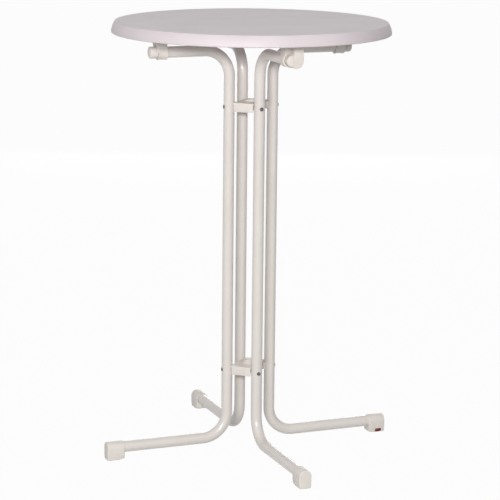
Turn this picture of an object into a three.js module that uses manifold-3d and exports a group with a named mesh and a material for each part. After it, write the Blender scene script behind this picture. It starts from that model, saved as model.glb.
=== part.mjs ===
// Folding bar-height garden table: a round board on four bent steel tubes.
// Millimetres, +Z up, origin on the floor under the centre of the board.
// The left and right tubes carry the board and lie along X. The front and rear tubes
// are a second pair, which turns about the middle axis to fold the base.

import * as THREE from 'three';
import { mergeVertices } from 'three/addons/utils/BufferGeometryUtils.js';
import Module from 'manifold-3d';

const wasm = await Module();
wasm.setup();

// Overall sizes
const tableHeight = 1100;
const boardDiameter = 700;
const footReach = 385;
const armInset = 95;
const armDrop = 70;
const legRise = 30;

// Board
const panelThickness = 16;
const rimHeight = 28;
const rimWidth = 25;
const rimSetback = 9;
const lipDraft = 2;
const lipRound = 3;
const rimShoulderShares = [0.17, 0.36];

// Bent tubes
const tubeDiameter = 28;
const tubeWall = 1.5;
const bendRadius = 65;
const uprightOffset = 58.7;

// Hubs
const hubHeight = 23;
const upperHubDrop = 142;
const lowerHubRise = 178.5;
const hubFaceProud = 6.5;
const hubSideSetback = 12.4;
const hubPlate = 4;
const hubSkirt = 3;
const hubLugWidth = 14;
const hubLugDepth = 8;
const rotorBarThickness = 5;
const rotorBarWidth = 18;
const bushBore = 35;
const bushWall = 1.5;
const bushFlange = 4;
const bushFlangeThickness = 1.2;
const tubeScrewDiameter = 5;
const tubeScrewHead = 10;
const tubeScrewHeadHeight = 0.8;

// Bearings and clips under the board
const collarSetback = 5;
const collarLength = 24.5;
const collarWall = 3.8;
const collarBead = 1;
const collarBeadWidth = 2.6;
const pedestalWidth = 28;
const flangeWidth = 64;
const flangeThickness = 6;
const flangeFlare = 10;
const flangeOverhang = 13.6;
const clipMouthLip = 4;

// Catch plate in front of each clipped arm
const catchWidth = 24.3;
const catchOffset = 0.7;
const catchThickness = 3;
const catchOverhang = 4;
const catchCorner = 17;
const catchFoot = 22;

// Board screws
const boardScrewDiameter = 4;
const boardScrewHead = 8;
const boardScrewHeadHeight = 2.4;
const boardScrewBite = 10;

// Arm caps
const capHeadLength = 15.7;
const capHeadLap = 0.75;
const capCorner = 4.5;
const capCrown = 0.8;
const capStemLength = 22;
const plugPlay = 0.8;

// Foot caps
const footLength = 45;
const footWallSide = 2;
const footHeelLength = 17;
const footHeelRise = 3;
const footDraft = 1.8;
const footDraftHeight = 14;
const footNose = 2;
const footEdge = 1.6;
const footPocketDepth = 7;
const footPocketWall = 4;

// Levelling wheel in the right foot
const wheelDiameter = 28;
const wheelThickness = 9;
const wheelLift = 0.4;
const wheelEndWall = 3.5;
const wheelGrooves = 18;
const wheelGrooveDepth = 0.8;
const wheelNotchWidth = 21.5;
const wheelNotchLean = 2.8;
const studDiameter = 6;
const studLength = 19;
const studWall = 2.5;

// Clearances
const fit = 0.3;
const runningGap = 0.6;
const overrun = 1;

// Facets
const roundSides = 20;
const boreSides = 16;
const boardSides = 72;
const bendSteps = 6;
const smallSides = 12;
const screwSides = 8;
const rimSteps = 6;
const cornerSteps = 3;

// Places that follow from the sizes
const boardRadius = boardDiameter / 2;
const boardUnderside = tableHeight - panelThickness;
const rimBottom = tableHeight - rimHeight;
const tubeRadius = tubeDiameter / 2;
const tubeBore = tubeRadius - tubeWall;
const armHeight = tableHeight - armDrop;
const armReach = boardRadius - armInset;
const bearingReach = armReach - collarSetback;
const collarRadius = tubeRadius + collarWall;
const bushRadius = bushBore / 2 + bushWall;
const upperHubHeight = armHeight - upperHubDrop;
const lowerHubHeight = legRise + lowerHubRise;
const uprightInner = uprightOffset - tubeRadius;
const uprightOuter = uprightOffset + tubeRadius;
const capEnd = armReach + fit + capHeadLength;
const wheelReach = footReach - wheelDiameter / 2 - wheelEndWall;
const footTubeEnd = wheelReach - studDiameter / 2 - studWall;
const quarter = Math.PI / 2;

// Each side's turn about the middle axis
const sideTurn = { right: 0, rear: quarter, left: Math.PI, front: -quarter };

// Finishes
const paint = new THREE.MeshStandardMaterial({ color: 0xe6e0d9, roughness: 0.35, metalness: 0.1 });
const board = new THREE.MeshStandardMaterial({ color: 0xe4dcdd, roughness: 0.45, metalness: 0 });
const moulding = new THREE.MeshStandardMaterial({ color: 0xe9e2d8, roughness: 0.5, metalness: 0 });
const steel = new THREE.MeshStandardMaterial({ color: 0x55534f, roughness: 0.35, metalness: 1 });
const red = new THREE.MeshStandardMaterial({ color: 0x7c1f1a, roughness: 0.5, metalness: 0 });

// Turns a closed three.js geometry into a solid that can be cut and joined
function toSolid(geometry) {
  const bare = geometry.clone();
  bare.deleteAttribute('normal');
  bare.deleteAttribute('uv');
  const merged = mergeVertices(bare);
  const corners = merged.index.array;
  const kept = [];
  for (let i = 0; i < corners.length; i += 3) {
    const [a, b, c] = [corners[i], corners[i + 1], corners[i + 2]];
    if (a !== b && b !== c && c !== a) kept.push(a, b, c);
  }
  return new wasm.Manifold(new wasm.Mesh({
    numProp: 3,
    vertProperties: new Float32Array(merged.attributes.position.array),
    triVerts: new Uint32Array(kept),
  }));
}

function toGeometry(solid) {
  const mesh = solid.getMesh();
  const geometry = new THREE.BufferGeometry();
  geometry.setAttribute('position', new THREE.BufferAttribute(new Float32Array(mesh.vertProperties), 3));
  geometry.setIndex(new THREE.BufferAttribute(new Uint32Array(mesh.triVerts), 1));
  geometry.computeVertexNormals();
  return geometry;
}

function piece(name, solid, material) {
  const mesh = new THREE.Mesh(toGeometry(solid), material.clone());
  mesh.name = name;
  return mesh;
}

function joined(solids) {
  return solids.reduce((whole, next) => whole.add(next));
}

function circlePoints(radius, sides) {
  const points = [];
  for (let i = 0; i < sides; i += 1) {
    const angle = (i / sides) * 2 * Math.PI;
    points.push(at(radius * Math.cos(angle), radius * Math.sin(angle)));
  }
  return points;
}

// A flat outline in X and Y, raised from low to high
function slab(shape, low, high) {
  const geometry = new THREE.ExtrudeGeometry(shape, { depth: high - low, bevelEnabled: false });
  return toSolid(geometry.translate(0, 0, low));
}

// An outline in the cross plane, Y across and Z up, run along X from start to end
function runAlongArm(shape, start, end) {
  const geometry = new THREE.ExtrudeGeometry(shape, {
    depth: end - start,
    bevelEnabled: false,
    curveSegments: smallSides,
  });
  const turn = new THREE.Matrix4().makeBasis(
    new THREE.Vector3(0, 1, 0),
    new THREE.Vector3(0, 0, 1),
    new THREE.Vector3(1, 0, 0),
  );
  return toSolid(geometry.applyMatrix4(turn).translate(start, 0, 0));
}

// An outline in the side plane, X along the arm and Z up, with its width centred on Y
function acrossArm(shape, width) {
  const geometry = new THREE.ExtrudeGeometry(shape, {
    depth: width,
    bevelEnabled: false,
    curveSegments: smallSides,
  });
  geometry.translate(0, 0, -width / 2);
  return toSolid(geometry.rotateX(quarter));
}

// A rod along X
function rod(radius, start, end, sides, y, z) {
  const geometry = new THREE.CylinderGeometry(radius, radius, end - start, sides);
  geometry.rotateZ(-quarter);
  return toSolid(geometry.translate((start + end) / 2, y, z));
}

// A rod along Z
function post(radius, low, high, sides, x, y) {
  const geometry = new THREE.CylinderGeometry(radius, radius, high - low, sides);
  geometry.rotateX(quarter);
  return toSolid(geometry.translate(x, y, (low + high) / 2));
}

function box(x, y, z) {
  const geometry = new THREE.BoxGeometry(x[1] - x[0], y[1] - y[0], z[1] - z[0]);
  return toSolid(geometry.translate((x[0] + x[1]) / 2, (y[0] + y[1]) / 2, (z[0] + z[1]) / 2));
}

// A turned profile: points give radius and height along the axis, which is Z
function turned(points, sides) {
  return toSolid(new THREE.LatheGeometry(points, sides).rotateX(quarter));
}

function turnedAlongArm(points, sides, start, z) {
  return toSolid(new THREE.LatheGeometry(points, sides).rotateZ(-quarter).translate(start, 0, z));
}

function turnedSide(solid, side) {
  return toSolid(toGeometry(solid).rotateZ(sideTurn[side]));
}

function at(radius, height) {
  return new THREE.Vector2(radius, height);
}

// The centre line of a bent tube, with its points only where it starts, bends and ends
class BentPath extends THREE.Curve {
  constructor() {
    super();
    const inner = uprightOffset + bendRadius;
    const high = armHeight - bendRadius;
    const low = legRise + bendRadius;
    this.stations = [this.station(armReach, armHeight, Math.PI)];
    for (let i = 0; i <= bendSteps; i += 1) {
      const angle = quarter + (quarter * i) / bendSteps;
      this.stations.push(this.onBend(inner, high, angle));
    }
    for (let i = 0; i <= bendSteps; i += 1) {
      const angle = Math.PI + (quarter * i) / bendSteps;
      this.stations.push(this.onBend(inner, low, angle));
    }
    this.stations.push(this.station(footTubeEnd, legRise, 0));
  }

  station(x, z, heading) {
    return {
      point: new THREE.Vector3(x, 0, z),
      tangent: new THREE.Vector3(Math.cos(heading), 0, Math.sin(heading)),
    };
  }

  onBend(x, z, angle) {
    const across = x + bendRadius * Math.cos(angle);
    const up = z + bendRadius * Math.sin(angle);
    return this.station(across, up, angle + quarter);
  }

  nearest(u) {
    return this.stations[Math.round(u * (this.stations.length - 1))];
  }

  getPointAt(u) {
    return this.nearest(u).point.clone();
  }

  getTangentAt(u) {
    return this.nearest(u).tangent.clone();
  }
}

// The bent tube of the right side, before its screw holes: the other sides are turned copies
function bentTube() {
  const path = new BentPath();
  const section = new THREE.Shape(circlePoints(tubeRadius, roundSides));
  section.holes.push(new THREE.Path(circlePoints(tubeBore, smallSides)));
  const steps = path.stations.length - 1;
  const tube = toSolid(new THREE.ExtrudeGeometry(section, { steps, extrudePath: path }));
  const holes = [upperHubHeight, lowerHubHeight].map((height) => (
    rod(tubeScrewDiameter / 2 + fit, uprightInner - overrun, uprightOuter + overrun, smallSides, 0, height)
  ));
  return tube.subtract(joined(holes));
}

function capProfile() {
  const headRadius = tubeRadius + capHeadLap;
  const end = fit + capHeadLength;
  const stem = tubeBore - plugPlay;
  const points = [at(0, -capStemLength), at(stem - plugPlay, -capStemLength)];
  points.push(at(stem, -capStemLength + plugPlay));
  points.push(at(stem, fit), at(headRadius, fit));
  for (let i = 0; i <= cornerSteps; i += 1) {
    const angle = (quarter * i) / cornerSteps;
    const inset = capCorner * (1 - Math.cos(angle));
    const below = capCorner * (1 - Math.sin(angle));
    points.push(at(headRadius - inset, end - capCrown - below));
  }
  points.push(at(0, end));
  return points;
}

function armCap() {
  return turnedAlongArm(capProfile(), boreSides, armReach, armHeight);
}

// The bearing: a collar round the arm, with a pedestal and a flange to the board
const flangeTop = boardUnderside - fit;
const flangeBottom = flangeTop - flangeThickness;
const flangeEnd = bearingReach + flangeOverhang;

function pedestalPath(shape) {
  const half = pedestalWidth / 2;
  shape.lineTo(half, flangeBottom - flangeFlare);
  shape.lineTo(half + flangeFlare, flangeBottom);
  shape.lineTo(flangeWidth / 2, flangeBottom);
  shape.lineTo(flangeWidth / 2, flangeTop);
  shape.lineTo(-flangeWidth / 2, flangeTop);
  shape.lineTo(-flangeWidth / 2, flangeBottom);
  shape.lineTo(-half - flangeFlare, flangeBottom);
  shape.lineTo(-half, flangeBottom - flangeFlare);
}

// What is cut off the outer end, so that it leans out from the arm's axis to the flange
function leanCut() {
  const low = armHeight - 2 * collarRadius;
  const shape = new THREE.Shape();
  shape.moveTo(bearingReach, low);
  shape.lineTo(bearingReach, armHeight);
  shape.lineTo(flangeEnd, flangeBottom);
  shape.lineTo(flangeEnd + overrun, flangeBottom);
  shape.lineTo(flangeEnd + overrun, low);
  return acrossArm(shape, flangeWidth + 2 * overrun);
}

function beads(start, end) {
  const radius = collarRadius + collarBead;
  return [
    rod(radius, start, start + collarBeadWidth, roundSides, 0, armHeight),
    rod(radius, end - collarBeadWidth, end, roundSides, 0, armHeight),
  ];
}

function flangeScrewPlaces() {
  const middle = (bearingReach - collarLength + flangeEnd) / 2;
  const aside = (pedestalWidth / 2 + flangeFlare + flangeWidth / 2) / 2;
  return [[middle, aside], [middle, -aside]];
}

function flangeHoles() {
  const radius = boardScrewDiameter / 2 + fit;
  return joined(flangeScrewPlaces().map(([x, y]) => (
    post(radius, flangeBottom - overrun, flangeTop + overrun, screwSides, x, y)
  )));
}

function bearing() {
  const start = bearingReach - collarLength;
  const half = pedestalWidth / 2;
  const angle = Math.acos(half / collarRadius);
  const shape = new THREE.Shape();
  shape.absarc(0, armHeight, collarRadius, Math.PI - angle, angle, false);
  pedestalPath(shape);
  const body = runAlongArm(shape, start, flangeEnd).subtract(leanCut());
  const bore = rod(tubeRadius + fit, start - overrun, flangeEnd + overrun, roundSides, 0, armHeight);
  return joined([body, ...beads(start, bearingReach)]).subtract(bore).subtract(flangeHoles());
}

// The clip: the same collar, open on the side to which its arm leaves
function clip() {
  const start = bearingReach - collarLength;
  const half = pedestalWidth / 2;
  const mouth = tubeRadius + runningGap;
  const lip = collarRadius + clipMouthLip;
  const angle = Math.acos(half / collarRadius);
  const round = (collarRadius - mouth) / 2;
  const shape = new THREE.Shape();
  shape.absarc(0, armHeight, collarRadius, Math.PI - angle, 3 * quarter, false);
  shape.absarc(lip - round, armHeight - collarRadius + round, round, -quarter, quarter, false);
  shape.absarc(0, armHeight, mouth, 3 * quarter, quarter, true);
  shape.lineTo(half + round, armHeight + mouth);
  shape.lineTo(half, armHeight + collarRadius);
  pedestalPath(shape);
  return runAlongArm(shape, start, flangeEnd)
    .subtract(leanCut())
    .subtract(flangeHoles());
}

// The catch plate: hangs in front of the arm's end, held under the board by its foot
const catchStart = capEnd + runningGap + overrun;
const catchBottom = armHeight - tubeRadius - catchOverhang;

function catchPlate() {
  const far = catchOffset + catchWidth;
  const shape = new THREE.Shape();
  shape.moveTo(catchOffset, catchBottom);
  shape.lineTo(far - catchCorner, catchBottom);
  shape.absarc(far - catchCorner, catchBottom + catchCorner, catchCorner, -quarter, 0, false);
  shape.lineTo(far, flangeTop);
  shape.lineTo(catchOffset, flangeTop);
  const plate = runAlongArm(shape, catchStart, catchStart + catchThickness);
  const foot = box(
    [catchStart, catchStart + catchFoot],
    [catchOffset, far],
    [flangeTop - catchThickness, flangeTop],
  );
  const [x, y] = catchScrewPlace();
  const hole = post(
    boardScrewDiameter / 2 + fit,
    flangeTop - catchThickness - overrun,
    flangeTop + overrun,
    smallSides,
    x,
    y,
  );
  return plate.add(foot).subtract(hole);
}

function catchScrewPlace() {
  return [catchStart + (catchThickness + catchFoot) / 2, catchOffset + catchWidth / 2];
}

// A board screw: its head under the piece that it holds, its shank up in the board
function boardScrew(x, y, seat) {
  const headBottom = seat - fit - boardScrewHeadHeight;
  const headRadius = boardScrewHead / 2;
  const shank = boardScrewDiameter / 2;
  const tip = boardUnderside + boardScrewBite;
  const profile = [
    at(0, headBottom),
    at(headRadius / 2, headBottom),
    at(headRadius, headBottom + boardScrewHeadHeight / 2),
    at(headRadius, seat - fit),
    at(shank, seat - fit),
    at(shank, tip - shank),
    at(0, tip),
  ];
  return turned(profile, screwSides).translate(x, y, 0);
}

function boardHole([x, y]) {
  const radius = boardScrewDiameter / 2 + fit;
  const top = boardUnderside + boardScrewBite + fit;
  return post(radius, boardUnderside - overrun, top, screwSides, x, y);
}

function tableTop() {
  const inner = boardRadius - rimWidth;
  const flat = boardRadius - rimSetback;
  const [insetShare, dropShare] = rimShoulderShares;
  const shoulder = at(boardRadius - rimSetback * insetShare, tableHeight - rimHeight * dropShare);
  const rim = new THREE.QuadraticBezierCurve(
    at(flat, tableHeight),
    shoulder,
    at(boardRadius, rimBottom + lipRound / 2),
  ).getPoints(rimSteps);
  const profile = [
    at(0, boardUnderside),
    at(inner - lipDraft, boardUnderside),
    at(inner, rimBottom + lipRound / 2),
    at(inner + lipRound / 2, rimBottom),
    at(boardRadius - lipRound, rimBottom),
    ...rim.reverse(),
    at(0, tableHeight),
  ];
  const underSides = ['left', 'right', 'front', 'rear'];
  const cuts = underSides.flatMap((side) => (
    flangeScrewPlaces().map((place) => turnedSide(boardHole(place), side))
  ));
  cuts.push(turnedSide(boardHole(catchScrewPlace()), 'front'));
  cuts.push(turnedSide(boardHole(catchScrewPlace()), 'rear'));
  return turned(profile, boardSides).subtract(joined(cuts));
}

// A foot cap: a moulded shoe on the end of the lower arm, round over the tube and flat below
const footWidth = tubeDiameter + 2 * footWallSide;
const soleHalf = footWidth / 2 - footDraft;
const footInner = footReach - footLength;

function footCap() {
  const half = footWidth / 2;
  const section = new THREE.Shape();
  section.moveTo(-soleHalf, 0);
  section.lineTo(soleHalf, 0);
  section.lineTo(half, footDraftHeight);
  section.absarc(0, legRise, half, 0, Math.PI, false);
  section.lineTo(-half, footDraftHeight);
  const loaf = new THREE.ExtrudeGeometry(section, {
    depth: footLength - 2 * footEdge,
    bevelThickness: footEdge,
    bevelSize: footEdge,
    bevelOffset: -footEdge,
    bevelSegments: 1,
    curveSegments: smallSides / 2,
  });
  const turn = new THREE.Matrix4().makeBasis(
    new THREE.Vector3(0, 1, 0),
    new THREE.Vector3(0, 0, 1),
    new THREE.Vector3(1, 0, 0),
  );
  const body = toSolid(loaf.applyMatrix4(turn).translate(footInner + footEdge, 0, 0));
  const top = legRise + half;
  const side = new THREE.Shape();
  side.moveTo(footInner + footHeelLength, 0);
  side.lineTo(footReach - footNose, 0);
  side.absarc(footReach - footNose, footNose, footNose, -quarter, 0, false);
  side.lineTo(footReach, top + overrun);
  side.lineTo(footInner, top + overrun);
  side.lineTo(footInner, footHeelRise);
  const socket = rod(tubeRadius + fit, footInner - overrun, footTubeEnd + fit, roundSides, 0, legRise);
  return body.intersect(acrossArm(side, footWidth + 2 * overrun)).subtract(socket);
}

function plainFoot() {
  const half = soleHalf - footPocketWall;
  const pocket = box(
    [footInner + footHeelLength + footPocketWall, footReach - footNose - footPocketWall],
    [-half, half],
    [-overrun, footPocketDepth],
  );
  return footCap().subtract(pocket);
}

// The right foot: a round pocket for the levelling wheel, open on each side through a notch
// that is wider at the floor
const wheelTop = wheelLift + wheelThickness;
const studBottom = wheelTop + fit;

function levellingFoot() {
  const pocketTop = wheelTop + runningGap;
  const half = wheelNotchWidth / 2;
  const pocket = post(
    wheelDiameter / 2 + runningGap,
    -overrun,
    pocketTop,
    roundSides,
    wheelReach,
    0,
  );
  const notch = new THREE.Shape();
  notch.moveTo(wheelReach - half, -overrun);
  notch.lineTo(wheelReach + half, -overrun);
  notch.lineTo(wheelReach + half - wheelNotchLean, pocketTop);
  notch.lineTo(wheelReach - half + wheelNotchLean, pocketTop);
  const studHole = post(
    studDiameter / 2 + fit,
    pocketTop - overrun,
    studBottom + studLength + fit,
    smallSides,
    wheelReach,
    0,
  );
  const notchCut = acrossArm(notch, footWidth + 2 * overrun);
  return footCap().subtract(joined([pocket, notchCut, studHole]));
}

function levellingWheel() {
  const stepsPerGroove = 3;
  const points = [];
  for (let i = 0; i < wheelGrooves * stepsPerGroove; i += 1) {
    const share = i / stepsPerGroove;
    const angle = (share / wheelGrooves) * 2 * Math.PI;
    const dip = wheelGrooveDepth * Math.sin(Math.PI * share) ** 2;
    const radius = wheelDiameter / 2 - dip;
    points.push(at(wheelReach + radius * Math.cos(angle), radius * Math.sin(angle)));
  }
  return slab(new THREE.Shape(points), wheelLift, wheelTop);
}

function levellingStud() {
  return post(studDiameter / 2, studBottom, studBottom + studLength, smallSides, wheelReach, 0);
}

// The hub's two mouldings share one stack: a plate on top and the turning half under it
const hubHalf = hubHeight / 2;
const lugStart = uprightInner - hubLugDepth;
const lugEnd = uprightOffset - tubeRadius / 2;
const lugHalf = hubLugWidth / 2;
const tubeLine = uprightOffset * Math.SQRT1_2;

function uprightCut(height, clearance) {
  const radius = tubeRadius + clearance;
  const [low, high] = [height - hubHeight, height + hubHeight];
  return post(radius, low, high, roundSides, uprightOffset, 0)
    .add(post(radius, low, high, roundSides, -uprightOffset, 0));
}

function lugs(low, high) {
  return box([lugStart, lugEnd], [-lugHalf, lugHalf], [low, high])
    .add(box([-lugEnd, -lugStart], [-lugHalf, lugHalf], [low, high]));
}

function lugScrewHoles(height) {
  const radius = tubeScrewDiameter / 2 + fit;
  return rod(radius, lugStart - overrun, lugEnd, smallSides, 0, height)
    .add(rod(radius, -lugEnd, -lugStart + overrun, smallSides, 0, height));
}

function bushHole(height) {
  return post(bushRadius + fit, height - hubHeight, height + hubHeight, roundSides, 0, 0);
}

// Fixed half: the plate, two full-height skirts and the lugs of the left and right tubes
function hubShell(height) {
  const [low, high] = [height - hubHalf, height + hubHalf];
  const face = tubeLine + hubFaceProud;
  const side = tubeLine - hubSideSetback;
  const skirtTop = high - hubPlate / 2;
  const plate = box([-face, face], [-side, side], [high - hubPlate, high]);
  const skirts = box([face - hubSkirt, face], [-side, side], [low, skirtTop])
    .add(box([-face, hubSkirt - face], [-side, side], [low, skirtTop]));
  const turnedPlate = toSolid(toGeometry(plate.add(skirts)).rotateZ(quarter / 2));
  const movingTubes = turnedSide(uprightCut(height, runningGap), 'rear');
  return turnedPlate
    .add(lugs(low + hubPlate, skirtTop))
    .subtract(uprightCut(height, fit))
    .subtract(movingTubes)
    .subtract(bushHole(height))
    .subtract(lugScrewHoles(height));
}

// Turning half: a bar between the front and rear tubes, with a boss round the middle bush
function hubRotor(height) {
  const bossRadius = (bushRadius + fit + lugStart) / 2;
  const bossLow = height - hubHalf + hubPlate;
  const bossHigh = height + hubHalf - hubPlate - fit;
  const barHalf = rotorBarThickness / 2;
  const boss = post(bossRadius, bossLow, bossHigh, roundSides, 0, 0);
  const bar = box(
    [-lugStart - overrun, lugStart + overrun],
    [-rotorBarWidth / 2, rotorBarWidth / 2],
    [height - barHalf, height + barHalf],
  );
  return boss
    .add(bar)
    .add(lugs(bossLow, bossHigh))
    .subtract(uprightCut(height, fit))
    .subtract(bushHole(height))
    .subtract(lugScrewHoles(height));
}

// The hollow bush that both halves turn on, with a flange over and under them
function hubBush(height) {
  const high = height + hubHalf + fit + bushFlangeThickness;
  const low = height - hubHalf + hubPlate - fit - bushFlangeThickness;
  const flange = bushRadius + bushFlange;
  const bore = bushBore / 2;
  return turned([
    at(bore, low),
    at(flange, low),
    at(flange, low + bushFlangeThickness),
    at(bushRadius, low + bushFlangeThickness),
    at(bushRadius, high - bushFlangeThickness),
    at(flange, high - bushFlangeThickness),
    at(flange, high),
    at(bore, high),
    at(bore, low),
  ], roundSides);
}

// A domed screw driven inwards through an upright into its lug
function tubeScrew(height) {
  const headRadius = tubeScrewHead / 2;
  const headStart = uprightOffset + Math.sqrt(tubeRadius ** 2 - headRadius ** 2);
  const headEnd = uprightOuter + fit + tubeScrewHeadHeight;
  const dome = [
    at(0, 0),
    at(headRadius, 0),
    at(headRadius, headEnd - headStart - tubeScrewHeadHeight / 2),
    at(headRadius / 2, headEnd - headStart),
    at(0, headEnd - headStart),
  ];
  const head = turnedAlongArm(dome, screwSides, headStart, height)
    .subtract(post(tubeRadius + fit, height - hubHeight, height + hubHeight, roundSides, uprightOffset, 0));
  const shank = rod(
    tubeScrewDiameter / 2,
    lugStart + fit,
    uprightOuter + fit + tubeScrewHeadHeight / 2,
    screwSides,
    0,
    height,
  );
  return head.add(shank);
}

// The assembly
const table = new THREE.Group();
table.add(piece('table_top', tableTop(), board));

for (const [side, turn] of Object.entries(sideTurn)) {
  const arm = new THREE.Group();
  arm.rotation.z = turn;
  table.add(arm);
  const foot = side === 'right' ? levellingFoot() : plainFoot();
  arm.add(piece(`tube_${side}`, bentTube(), paint));
  arm.add(piece(`arm_cap_${side}`, armCap(), moulding));
  arm.add(piece(`foot_cap_${side}`, foot, moulding));
  arm.add(piece(`upper_tube_screw_${side}`, tubeScrew(upperHubHeight), steel));
  arm.add(piece(`lower_tube_screw_${side}`, tubeScrew(lowerHubHeight), steel));

  const holder = side === 'left' || side === 'right' ? 'bearing' : 'clip';
  arm.add(piece(`${holder}_${side}`, holder === 'bearing' ? bearing() : clip(), moulding));
  flangeScrewPlaces().forEach(([x, y], i) => {
    arm.add(piece(`${holder}_screw_${side}_${i + 1}`, boardScrew(x, y, flangeBottom), steel));
  });
  if (holder === 'clip') {
    const [x, y] = catchScrewPlace();
    arm.add(piece(`catch_${side}`, catchPlate(), moulding));
    arm.add(piece(`catch_screw_${side}`, boardScrew(x, y, flangeTop - catchThickness), steel));
  }
  if (side === 'right') {
    arm.add(piece('levelling_wheel', levellingWheel(), red));
    arm.add(piece('levelling_stud', levellingStud(), steel));
  }
}

const foldingHalves = new THREE.Group();
foldingHalves.rotation.z = quarter;
table.add(foldingHalves);
for (const [level, height] of [['upper', upperHubHeight], ['lower', lowerHubHeight]]) {
  table.add(piece(`${level}_hub_shell`, hubShell(height), moulding));
  table.add(piece(`${level}_hub_bush`, hubBush(height), moulding));
  foldingHalves.add(piece(`${level}_hub_rotor`, hubRotor(height), moulding));
}

export default table;
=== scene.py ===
# The looks of a folding bar-height garden table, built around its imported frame.
# Metres, +Z up. The left and right tubes carry the board and lie along X. The front
# and rear tubes are a second pair, which turns about the middle axis to fold the base.

import math

import bmesh
import bpy
from mathutils import Matrix, Vector


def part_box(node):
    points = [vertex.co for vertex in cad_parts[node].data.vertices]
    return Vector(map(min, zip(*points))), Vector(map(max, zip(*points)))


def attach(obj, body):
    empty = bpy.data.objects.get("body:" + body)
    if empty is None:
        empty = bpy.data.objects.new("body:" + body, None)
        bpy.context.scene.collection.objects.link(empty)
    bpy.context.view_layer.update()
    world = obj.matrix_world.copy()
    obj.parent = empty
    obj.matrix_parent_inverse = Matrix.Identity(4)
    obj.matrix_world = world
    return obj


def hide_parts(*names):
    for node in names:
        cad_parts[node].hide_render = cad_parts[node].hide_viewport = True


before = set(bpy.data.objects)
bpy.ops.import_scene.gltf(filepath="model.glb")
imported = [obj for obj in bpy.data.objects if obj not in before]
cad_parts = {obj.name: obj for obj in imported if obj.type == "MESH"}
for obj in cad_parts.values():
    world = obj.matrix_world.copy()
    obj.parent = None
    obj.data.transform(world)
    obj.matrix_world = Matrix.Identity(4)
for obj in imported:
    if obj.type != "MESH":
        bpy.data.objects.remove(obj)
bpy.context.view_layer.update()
scene = bpy.context.scene


# The bent tubes
# Four alike steel tubes of 28 mm, cold bent twice: a short arm under the board, a long
# upright beside the middle axis, and a leg along the floor. White powder coat, fairly
# glossy, baked on before the moulded fittings are pushed and screwed on.
QUARTER = math.pi / 2
SIDE_TURN = {"right": 0, "rear": QUARTER, "left": math.pi, "front": -QUARTER}
SIDE_BODY = {"right": "root", "left": "root", "rear": "folding_pair", "front": "folding_pair"}
TUBE_LOW, TUBE_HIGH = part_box("tube_right")
TUBE_RADIUS = (TUBE_HIGH.y - TUBE_LOW.y) / 2
TUBE_WALL = 0.0015
BEND_RADIUS = 0.065
UPRIGHT_X = TUBE_LOW.x + TUBE_RADIUS
ARM_Z = TUBE_HIGH.z - TUBE_RADIUS
LEG_Z = TUBE_LOW.z + TUBE_RADIUS
LEG_END = TUBE_HIGH.x
PLUG_LENGTH = 0.022
ARM_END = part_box("arm_cap_right")[0].x + PLUG_LENGTH
HUB_Z = {level: (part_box(f"{level}_hub_shell")[0].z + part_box(f"{level}_hub_shell")[1].z) / 2
         for level in ("upper", "lower")}
FIT = 0.0003
OVERRUN = 0.001
SCREW_SHANK = 0.0025
TUBE_SIDES = 64
BEND_STEPS = 28
SMALL_SIDES = 24
SAME_PLACE = 0.000002
SAME_FLAT = math.radians(0.5)
PAINT = (0.792, 0.740, 0.700, 1)
PAINT_SHADE = (0.772, 0.720, 0.680, 1)


def solid(name, points, faces):
    """A closed piece from its points and faces, with every face pointing out."""
    mesh = bpy.data.meshes.new(name)
    mesh.from_pydata([tuple(point) for point in points], [], faces)
    form = bmesh.new()
    form.from_mesh(mesh)
    bmesh.ops.recalc_face_normals(form, faces=form.faces)
    form.to_mesh(mesh)
    form.free()
    piece = bpy.data.objects.new(name, mesh)
    scene.collection.objects.link(piece)
    return piece


def settle(piece):
    """Makes a piece's modifiers part of its mesh."""
    bpy.context.view_layer.update()
    graph = bpy.context.evaluated_depsgraph_get()
    mesh = bpy.data.meshes.new_from_object(piece.evaluated_get(graph))
    piece.modifiers.clear()
    piece.data = mesh


def combine(piece, other, how):
    """Joins another form to a piece, or cuts it away. The other form is used up."""
    step = piece.modifiers.new("step", "BOOLEAN")
    step.operation = how
    step.solver = "EXACT"
    step.object = other
    settle(piece)
    bpy.data.objects.remove(other)


def cut(piece, *others):
    for other in others:
        combine(piece, other, "DIFFERENCE")


def merge_flats(piece):
    """Makes one face of each flat that the cuts and joins have left in bits."""
    form = bmesh.new()
    form.from_mesh(piece.data)
    bmesh.ops.remove_doubles(form, verts=form.verts, dist=SAME_PLACE)
    bmesh.ops.dissolve_limit(form, angle_limit=SAME_FLAT, verts=form.verts, edges=form.edges)
    form.to_mesh(piece.data)
    form.free()


def arc(centre, radius, start, end, steps):
    """Points on a round stretch of an outline, both ends included."""
    angles = [start + (end - start) * i / steps for i in range(steps + 1)]
    return [(centre[0] + radius * math.cos(a), centre[1] + radius * math.sin(a)) for a in angles]


def prism(name, outline, low, high, place):
    """An outline raised from low to high. place turns across, up and along into x, y, z."""
    count = len(outline)
    points = [place(u, v, w) for w in (low, high) for u, v in outline]
    sides = [(i, (i + 1) % count, (i + 1) % count + count, i + count) for i in range(count)]
    ends = [tuple(range(count)), tuple(range(count, 2 * count))]
    return solid(name, points, sides + ends)


def along_arm(u, v, w):
    return (w, u, v)


def rod(name, radius, start, end, y, z, sides=TUBE_SIDES):
    """A round bar along X."""
    return prism(name, arc((y, z), radius, 0, 2 * math.pi, sides)[:-1], start, end, along_arm)


def smooth(piece, edge_angle=38):
    """Smooth shading, with creases only where the faces meet at a real edge."""
    piece.data.shade_smooth()
    piece.data.set_sharp_from_angle(angle=math.radians(edge_angle))


def turned_copy(master, name, side):
    """A copy of a right-hand piece, turned round the middle axis to its own side."""
    mesh = master.data.copy()
    mesh.name = name
    mesh.transform(Matrix.Rotation(SIDE_TURN[side], 4, "Z"))
    piece = bpy.data.objects.new(name, mesh)
    scene.collection.objects.link(piece)
    return piece


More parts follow.
